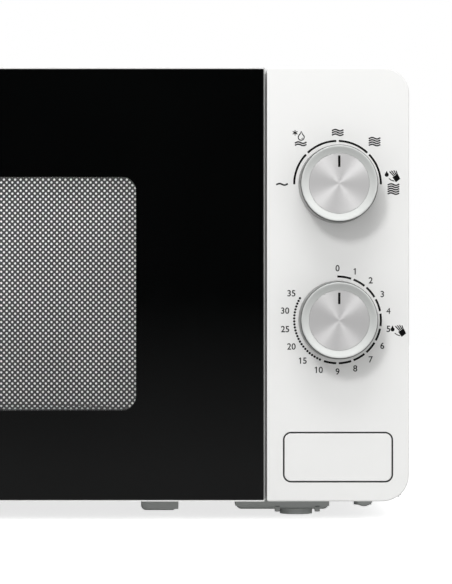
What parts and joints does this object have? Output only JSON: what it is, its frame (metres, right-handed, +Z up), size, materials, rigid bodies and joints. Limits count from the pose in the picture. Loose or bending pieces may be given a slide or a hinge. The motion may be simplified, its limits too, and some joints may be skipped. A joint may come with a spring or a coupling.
{
  "type": "microwave oven",
  "caption": "Compact free-standing microwave oven: side-hinged glass door with perforated screen, rotary power and timer knobs, push-button door release and turntable.",
  "frame": {"origin": "centre of the overall box, on the surface that the feet stand on", "axes": "+X to the right seen from the front, +Y to the back, +Z up"},
  "size_m": [0.451, 0.343, 0.2577],
  "materials": {
    "white_steel": "satin white enamel",
    "white_plastic": "fine matt moulded ABS",
    "black_glass": "glossy black printed glass",
    "zinc": "zinc-coated sheet",
    "spun_aluminium": "radially spun, clear-coated",
    "dark_screen": "dark grey paint",
    "clear_film": "clear film",
    "grey_plastic": "matt grey",
    "black_plastic": "matt black",
    "ivory_plastic": "natural nylon",
    "foot_rubber": "grey rubber",
    "clear_glass": "clear pressed glass",
    "mica": "speckled mica",
    "copper": "copper and enamelled wire",
    "dark_iron": "varnished laminations and ferrite",
    "board": "circuit board",
    "red_cable": "red sleeving",
    "spring_steel": "drawn wire",
    "lamp_glass": "clear lamp glass"
  },
  "bodies": {
    "oven": {"cabinet_wrap": "white_steel", "rear_plate": "zinc", "base_plate": "zinc", "feet": "foot_rubber", "rear_spacers": "white_plastic", "cord_gland": "black_plastic", "cabinet_screws": "zinc", "control_panel": "white_plastic", "front_plate": "white_steel", "cavity_walls": "white_steel", "cavity_floor": "white_steel", "cavity_back": "white_steel", "waveguide": "zinc", "waveguide_cover": "mica", "lamp_holder": "ivory_plastic", "cavity_lamp": "lamp_glass", "turntable_motor": "zinc", "hinge_brackets": "zinc", "latch_bracket": "ivory_plastic", "interlock_switches": "black_plastic", "timer_unit": "zinc", "timer_bell": "zinc", "magnetron_yoke": "zinc", "magnetron_anode": "copper", "magnetron_fins": "spun_aluminium", "magnetron_magnets": "dark_iron", "transformer_core": "dark_iron", "transformer_coils": "copper", "hv_capacitor": "zinc", "capacitor_clamp": "zinc", "hv_diode": "black_plastic", "fan_motor": "dark_iron", "fan_shroud": "ivory_plastic", "filter_board": "board", "mains_fuse": "zinc", "thermal_cutouts": "black_plastic", "wiring_harness": "red_cable"},
    "door": {"door_frame": "white_plastic", "door_glass": "black_glass", "door_inner_panel": "dark_screen", "door_screen": "dark_screen", "door_film": "clear_film", "choke_cover": "grey_plastic", "latch_spring": "spring_steel"},
    "latch": {"latch_hook": "white_plastic"},
    "button": {"release_button": "white_plastic"},
    "lever": {"release_lever": "ivory_plastic", "lever_spring": "spring_steel"},
    "power_knob": {"power_knob": "spun_aluminium", "power_shaft": "zinc"},
    "timer_knob": {"timer_knob": "spun_aluminium", "timer_shaft": "zinc"},
    "fan": {"fan_blade": "white_plastic"},
    "coupler": {"turntable_coupler": "ivory_plastic"},
    "tray": {"glass_tray": "clear_glass"},
    "ring": {"roller_ring": "ivory_plastic"},
    "roller_front": {"roller_front": "white_plastic"},
    "roller_left": {"roller_left": "white_plastic"},
    "roller_right": {"roller_right": "white_plastic"}
  },
  "joints": [
    {"name": "door_hinge", "type": "hinge", "parent": "oven", "child": "door", "pos_m": [-0.2155, -0.132, 0.13], "axis": [0, 0, -1], "range_deg": [0, 100]},
    {"name": "latch_lift", "type": "slide", "parent": "door", "child": "latch", "axis": [0, 0, 1], "range_m": [0, 0.004], "stiffness_N_per_m": 150, "deforming": ["latch_spring"]},
    {"name": "button_press", "type": "slide", "parent": "oven", "child": "button", "axis": [0, 1, 0], "range_m": [0, 0.005], "stiffness_N_per_m": 300, "springref_m": -0.003},
    {"name": "lever_swing", "type": "hinge", "parent": "oven", "child": "lever", "pos_m": [0.1648, -0.114, 0.058], "axis": [1, 0, 0], "range_deg": [0, 13.5]},
    {"name": "power_knob_turn", "type": "hinge", "parent": "oven", "child": "power_knob", "pos_m": [0.18485, -0.152, 0.1914], "axis": [0, 1, 0], "range_deg": [-90, 90]},
    {"name": "timer_knob_turn", "type": "hinge", "parent": "oven", "child": "timer_knob", "pos_m": [0.18485, -0.152, 0.1145], "axis": [0, 1, 0], "range_deg": [0, 300]},
    {"name": "fan_spin", "type": "hinge", "parent": "oven", "child": "fan", "pos_m": [0.1679, 0.118, 0.15], "axis": [0, 1, 0], "continuous": true},
    {"name": "turntable_spin", "type": "hinge", "parent": "oven", "child": "coupler", "pos_m": [-0.0407, 0.0158, 0.027], "axis": [0, 0, 1], "continuous": true},
    {"name": "tray_lift", "type": "slide", "parent": "coupler", "child": "tray", "axis": [0, 0, 1], "range_m": [0, 0.03]},
    {"name": "roller_ring_spin", "type": "hinge", "parent": "oven", "child": "ring", "pos_m": [-0.0407, 0.0158, 0.03415], "axis": [0, 0, 1], "continuous": true},
    {"name": "roller_front_spin", "type": "hinge", "parent": "ring", "child": "roller_front", "pos_m": [-0.0407, -0.0722, 0.03415], "axis": [0, -1, 0], "continuous": true},
    {"name": "roller_right_spin", "type": "hinge", "parent": "ring", "child": "roller_right", "pos_m": [0.03551, 0.0598, 0.03415], "axis": [0.866, 0.5, 0], "continuous": true},
    {"name": "roller_left_spin", "type": "hinge", "parent": "ring", "child": "roller_left", "pos_m": [-0.11691, 0.0598, 0.03415], "axis": [-0.866, 0.5, 0], "continuous": true}
  ],
  "couplings": [
    {"joint": "lever_swing", "follows": "button_press", "rad_per_m": 45.455},
    {"joint": "latch_lift", "follows": "button_press", "ratio": 0.72},
    {"joint": "roller_ring_spin", "follows": "turntable_spin", "ratio": 0.5},
    {"joint": "roller_front_spin", "follows": "turntable_spin", "ratio": -6.4234},
    {"joint": "roller_right_spin", "follows": "turntable_spin", "ratio": -6.4234},
    {"joint": "roller_left_spin", "follows": "turntable_spin", "ratio": -6.4234}
  ]
}
